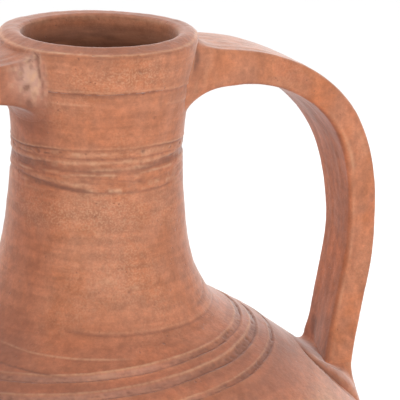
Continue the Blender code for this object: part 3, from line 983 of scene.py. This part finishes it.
def handle_skins(name, side, seed, feet, material):
    """A strap handle and its two pads."""
    distance = np.linspace(STRAP_START, STRAP_END, STRAP_STATIONS)
    points, relief = strap_points(distance, seed, NEAR_PULL if side > 0 else 0.0)
    if side < 0:
        relief.add(1.0, dark=0.14, red=0.3)
    skin = Skin(RING)
    start = skin.add_rows(turned_to(points, side), relief)
    end = skin.join_rows(start, STRAP_STATIONS)
    skin.cap(start, turned_to(points[0].mean(axis=0), side))
    skin.cap(end, turned_to(points[-1].mean(axis=0), side), flip=True)
    skin.piece(f"handle_{name}", "handle_clay", material)
    ends = (
        ("upper", 0, 5, upper_foot(feet[0]), UPPER_FULLNESS, UPPER_LIFTS),
        ("lower", -1, -6, lower_foot(feet[1]), LOWER_FULLNESS, LOWER_LIFTS),
    )
    for which, last, before, foot, full, lifts in ends:
        ring = points[last]
        way = ring - points[before]
        way = way / np.linalg.norm(way, axis=1)[:, None]
        ring_relief = Relief(ring)
        for skin_layer in SKIN_LAYERS:
            setattr(ring_relief, skin_layer, getattr(relief, skin_layer)[last])
        fullness, lift = foot_curve(list(zip(full, lifts)))
        grid, normal, skin_layers = pad_grid(ring, ring_relief, way, foot, lift, fullness, side, seed + 40)
        if which == "upper":
            mark_upper_pad(skin_layers, name)
        else:
            mark_lower_pad(skin_layers, side)
        close_pad(grid, normal, skin_layers, f"{which}_luting_pad_{name}", side, material)


def mark_upper_pad(relief, name):
    """Marks on the clay round the upper roots."""
    if name == "left":
        relief.red += 0.5
        relief.dark += 0.12
        mark_scar_and_root_shadow(relief)
    else:
        relief.spot(-34.5, 12.5, 1.0, 5.5, turn=12, lift=-1.1, dark=1.5)
        smear = relief.spot(-33, 22, 7, 11)
        relief.add(smear, dark=0.22)
        relief.add(smear * smooth(0.0, 0.7, noise(relief.points, (3, 3, 9), 33)), pale=0.35)


def mark_lower_pad(relief, side):
    """Smears and a fold on the near side of the clay round the lower roots, with painted shade over the
    pad's inner part and along the crack.
    """
    p = relief.points
    x, y = p[..., 0] * side, p[..., 1] * side
    near = 1 - smooth(-24, -12, y)
    # Painted shade, with a redder tone, over the pad's inner part.
    relief.add(1 - smooth(128, 140, x), dark=0.1, red=0.5)
    inner = (1 - smooth(118, 130, x)) * smooth(-40, -28, y)
    relief.add(inner * (0.8 + 0.5 * noise(p, 6, 38)), dark=0.5, red=0.6)
    seam = y - near_seam(x)
    # Painted shade on the clay along the crack; the crack's own dark line follows.
    relief.add(bell(seam - 1.0, 3.5) * (1 - smooth(124, 136, x)), dark=0.2, red=0.5)
    relief.add(bell(seam - 0.4, 1.3) * plateau(x, 108, 112, 126, 138), dark=0.9)
    relief.add(near * smooth(0.0, 0.7, noise(p, 5, 36)), dark=0.2)
    relief.add(near * smooth(0.1, 0.7, noise(p, 6, 37)), pale=0.3)
    fold = np.hypot(x - 126, y + 34) - 5.5
    relief.add(bell(fold, 0.7) * near * smooth(-34, -38, y), lift=-0.4, dark=0.5)


class Nodes:
    """Short ways to add nodes to a material or a world."""

    def __init__(self, owner, shader="Principled BSDF", place="Object"):
        owner.use_nodes = True
        self.tree = owner.node_tree
        self.shader = self.tree.nodes[shader]
        self.place = self.new("ShaderNodeTexCoord").outputs[place]

    def new(self, kind, inputs=None, **settings):
        """A new node with those settings, and with its inputs linked or set."""
        node = self.tree.nodes.new(kind)
        for name, value in settings.items():
            setattr(node, name, value)
        for name, value in (inputs or {}).items():
            self.put(node.inputs[name], value)
        return node

    def put(self, socket, value):
        """Link a socket or set its value."""
        if isinstance(value, bpy.types.NodeSocket):
            self.tree.links.new(value, socket)
        else:
            socket.default_value = value

    def noise(self, scale, detail=2.0, stretch=(1.0, 1.0, 1.0), distortion=0.0):
        """Noise from 0 to 1, stretched by axis."""
        mapping = self.new("ShaderNodeMapping", {"Vector": self.place, "Scale": stretch})
        inputs = {"Scale": scale, "Detail": detail, "Distortion": distortion}
        inputs["Vector"] = mapping.outputs["Vector"]
        return self.new("ShaderNodeTexNoise", inputs).outputs["Fac"]

    def ramp(self, value, low, high, to_low=0.0, to_high=1.0):
        """A value brought from one range to another, kept inside it."""
        ends = {"From Min": low, "From Max": high, "To Min": to_low, "To Max": to_high, "Value": value}
        return self.new("ShaderNodeMapRange", ends, interpolation_type="SMOOTHSTEP").outputs["Result"]

    def math(self, operation, first, second):
        """The result of a sum, a difference or a product."""
        return self.new("ShaderNodeMath", {0: first, 1: second}, operation=operation).outputs[0]

    def times(self, first, second):
        """A product."""
        return self.math("MULTIPLY", first, second)

    def mix(self, share, first, second, blend="MIX"):
        """A mix of two colours, which are the node's inputs 6 and 7."""
        colours = {0: share, 6: first, 7: second}
        return self.new("ShaderNodeMix", colours, data_type="RGBA", blend_type=blend).outputs[2]

    def tint(self, tone, amount, most, colour):
        """A tone brought towards a colour by an amount from 0 to 1, times the most it may change."""
        return self.mix(self.times(amount, most), tone, colour)

    def mix_value(self, share, first, second):
        """A mix of two values, which are the node's inputs 2 and 3."""
        values = {0: share, 2: first, 3: second}
        return self.new("ShaderNodeMix", values, data_type="FLOAT").outputs[0]

    def skin_layer(self, name):
        """What the skin carries under that name."""
        return self.new("ShaderNodeAttribute", attribute_name=name).outputs["Fac"]


def clay_material():
    """Unglazed fired clay: mottled, streaked, specked with pits, and stained and given painted shade
    and highlights by the skin's marks.
    """
    material = bpy.data.materials.new("fired_clay")
    n = Nodes(material)
    strap = n.skin_layer("strap")
    blotch = n.ramp(n.noise(17, 3.0, distortion=0.6), 0.36, 0.64)
    patch = n.ramp(n.noise(58, 4.0, distortion=0.5), 0.36, 0.66)
    smear = n.ramp(n.noise(60, 3.0, stretch=(1.0, 1.0, 0.22), distortion=0.3), 0.42, 0.7)
    wheel = n.noise(30, 3.0, stretch=(1.0, 1.0, 9.0))
    lengthwise = n.noise(110, 3.0, stretch=(1.0, 1.0, 0.25))
    grain = n.noise(620, 3.0)
    fine = n.noise(1500, 2.0)
    base = n.mix(strap, CLAY["body"], CLAY["strap"])
    warm = n.mix(strap, CLAY["body_warm"], CLAY["strap_warm"])
    tone = n.tint(base, blotch, 0.8, warm)
    tone = n.tint(tone, patch, 0.5, CLAY["pink"])
    tone = n.tint(tone, smear, 0.35, CLAY["pink"])
    tone = n.tint(tone, n.skin_layer("red"), 0.6, CLAY["red"])
    streaks = n.ramp(n.mix_value(strap, wheel, lengthwise), 0.3, 0.7)
    shade = n.times(n.ramp(grain, 0.25, 0.75, 0.92, 1.07), n.ramp(streaks, 0.0, 1.0, 0.9, 1.09))
    shade = n.times(shade, n.ramp(fine, 0.3, 0.7, 0.95, 1.05))
    shade = n.times(shade, n.ramp(n.noise(210, 6.0), 0.3, 0.7, 0.88, 1.11))
    grey = n.new("ShaderNodeCombineColor")
    for socket in grey.inputs[:3]:
        n.put(socket, shade)
    tone = n.mix(1.0, tone, grey.outputs[0], "MULTIPLY")
    specks = n.ramp(n.noise(1000, 3.0), 0.42, 0.66)
    cloud = n.ramp(n.noise(34, 3.0), 0.46, 0.72)
    bloom = n.times(specks, n.math("ADD", n.times(cloud, 0.35), n.skin_layer("bloom")))
    tone = n.tint(tone, bloom, 0.5, CLAY["cream"])
    tone = n.tint(tone, n.skin_layer("ash"), 0.75, CLAY["ash"])
    pits = n.times(n.ramp(n.noise(430, 1.0), 0.70, 0.78), n.ramp(n.noise(50, 1.0), 0.4, 0.6))
    tone = n.tint(tone, pits, 0.5, CLAY["pit"])
    # The pale layer: pale clay and worn edges, and painted highlights on the lip and the shoulder.
    pale = n.times(n.skin_layer("pale"), n.ramp(n.noise(420, 3.0), 0.28, 0.62, 0.5, 1.0))
    tone = n.tint(tone, pale, 0.75, CLAY["cream"])
    # The dark layer: darker cuts, cracks and staining, and painted shade in other places.
    dark = n.times(n.skin_layer("dark"), n.ramp(n.noise(500, 3.0), 0.25, 0.6, 0.7, 1.0))
    tone = n.tint(tone, dark, 0.82, CLAY["dirt_and_shade"])
    # The inside's colours, laid on more deeply down the bore: partly painted shade.
    rings = n.ramp(n.noise(26, 4.0, stretch=(1.0, 1.0, 6.0), distortion=0.4), 0.4, 0.66)
    depths = n.mix(rings, CLAY["inside"], CLAY["inside_pale"])
    tone = n.tint(tone, n.skin_layer("inner"), 0.85, depths)
    n.put(n.shader.inputs["Base Color"], tone)
    n.shader.inputs["Roughness"].default_value = 0.68
    n.shader.inputs["Metallic"].default_value = 0.0
    n.shader.inputs["Specular IOR Level"].default_value = 0.42
    n.shader.inputs["Sheen Weight"].default_value = 0.5
    n.shader.inputs["Sheen Roughness"].default_value = 0.34
    height = n.math("ADD", n.times(grain, 0.45), n.times(fine, 0.25))
    height = n.math("ADD", height, n.times(streaks, 0.3))
    height = n.math("SUBTRACT", height, n.times(pits, 0.7))
    bump = n.new("ShaderNodeBump", {"Strength": 0.7, "Distance": 0.0004, "Height": height})
    n.put(n.shader.inputs["Normal"], bump.outputs["Normal"])
    return material


def build_jug():
    """Every visible piece, each standing for its CAD node."""
    clay = clay_material()
    collar_skin(clay)
    neck = ((COLLAR_JOINT, 50, 1.05), (50, 78, 0.44), (78, NECK_RING_TOP, 1.15))
    # Each band's node, slot, stretches as (from drop, to drop, spacing), and rows inside.
    bands = (
        ("neck", "body_clay", neck, 14),
        ("neck_luting_ring", "joint_clay", ((NECK_RING_TOP, NECK_RING_FOOT, 0.5),), 4),
        ("upper_body", "body_clay", ((NECK_RING_FOOT, 182, 0.56), (182, BELLY_RING_TOP, 2.8)), 14),
        ("belly_luting_ring", "joint_clay", ((BELLY_RING_TOP, BELLY_RING_FOOT, 1.3),), 3),
        ("lower_body", "body_clay", ((BELLY_RING_FOOT, BASE_JOINT, 2.2),), 16),
    )
    at = WALL_LINE.distance_at_drop
    for node, slot, stretches, inner_rows in bands:
        outer = steps(*((at(first), at(last), spacing) for first, last, spacing in stretches))
        band_skin(node, slot, clay, outer, inner_rows)
    base_skin(clay)
    handle_skins("right", 1, 200, (UPPER_FOOT_RIGHT, LOWER_FOOT_RIGHT), clay)
    handle_skins("left", -1, 300, (UPPER_FOOT_LEFT, LOWER_FOOT_LEFT), clay)


def build_floor():
    """A plain pale floor."""
    mesh = bpy.data.meshes.new("floor")
    half = 12.0
    corners = [(-half, -half, 0), (half, -half, 0), (half, half, 0), (-half, half, 0)]
    mesh.from_pydata(corners, [], [(0, 1, 2, 3)])
    material = bpy.data.materials.new("floor")
    material.use_nodes = True
    shader = material.node_tree.nodes["Principled BSDF"]
    shader.inputs["Base Color"].default_value = (0.97, 0.97, 0.97, 1.0)
    shader.inputs["Roughness"].default_value = 0.95
    shader.inputs["Specular IOR Level"].default_value = 0.1
    mesh.materials.append(material)
    floor = bpy.data.objects.new("floor", mesh)
    bpy.context.scene.collection.objects.link(floor)


def softbox(name, place, aim, size, power):
    """A large soft lamp that the camera doesn't see."""
    data = bpy.data.lights.new(name, "AREA")
    data.shape = "DISK"
    data.size = size
    data.energy = power
    lamp = bpy.data.objects.new(name, data)
    bpy.context.scene.collection.objects.link(lamp)
    lamp.location = place
    lamp.rotation_mode = "QUATERNION"
    lamp.rotation_quaternion = (Vector(aim) - Vector(place)).to_track_quat("-Z", "Y")
    lamp.visible_camera = False


def light_scene():
    """A white sweep, brighter behind the jug, with one soft lamp behind it and one in front."""
    world = bpy.data.worlds.new("studio")
    n = Nodes(world, "Background", "Generated")
    side = n.new("ShaderNodeVectorMath", {0: n.place, 1: SWEEP_TILT}, operation="DOT_PRODUCT")
    n.put(n.shader.inputs["Color"], (1.0, 1.0, 1.0, 1.0))
    n.put(n.shader.inputs["Strength"], n.math("ADD", side.outputs["Value"], SWEEP_LEVEL))
    bpy.context.scene.world = world
    softbox("back_box", place=(1.3, 0.9, 0.55), aim=(0.0, 0.0, 0.3), size=0.8, power=5.0)
    softbox("front_box", place=(0.15, -1.65, 0.75), aim=(0.0, 0.0, 0.33), size=1.0, power=9.8)
    bpy.context.scene.view_settings.view_transform = "Standard"


def add_camera():
    """The camera, where the photographer stood."""
    forward = Vector((math.sin(VIEW_HEADING), math.cos(VIEW_HEADING), 0))
    right = Vector((math.cos(VIEW_HEADING), -math.sin(VIEW_HEADING), 0))
    looking = forward * math.cos(CAMERA_PITCH) - Vector((0, 0, math.sin(CAMERA_PITCH)))
    upward = right.cross(looking)
    side = right * math.cos(CAMERA_ROLL) + upward * math.sin(CAMERA_ROLL)
    top = upward * math.cos(CAMERA_ROLL) - right * math.sin(CAMERA_ROLL)
    place = (right * CAMERA_RIGHT - forward * CAMERA_BACK + Vector((0, 0, TOP + CAMERA_UP))) * MM
    turn = Matrix((side, top, -looking)).transposed().to_4x4()
    data = bpy.data.cameras.new("camera")
    data.lens = CAMERA_LENS
    data.sensor_width = 36.0
    data.clip_start = 0.05
    data.clip_end = 50.0
    camera = bpy.data.objects.new("camera", data)
    bpy.context.scene.collection.objects.link(camera)
    camera.matrix_world = Matrix.Translation(place) @ turn
    bpy.context.scene.camera = camera


build_jug()
build_floor()
light_scene()
add_camera()
bpy.context.view_layer.update()
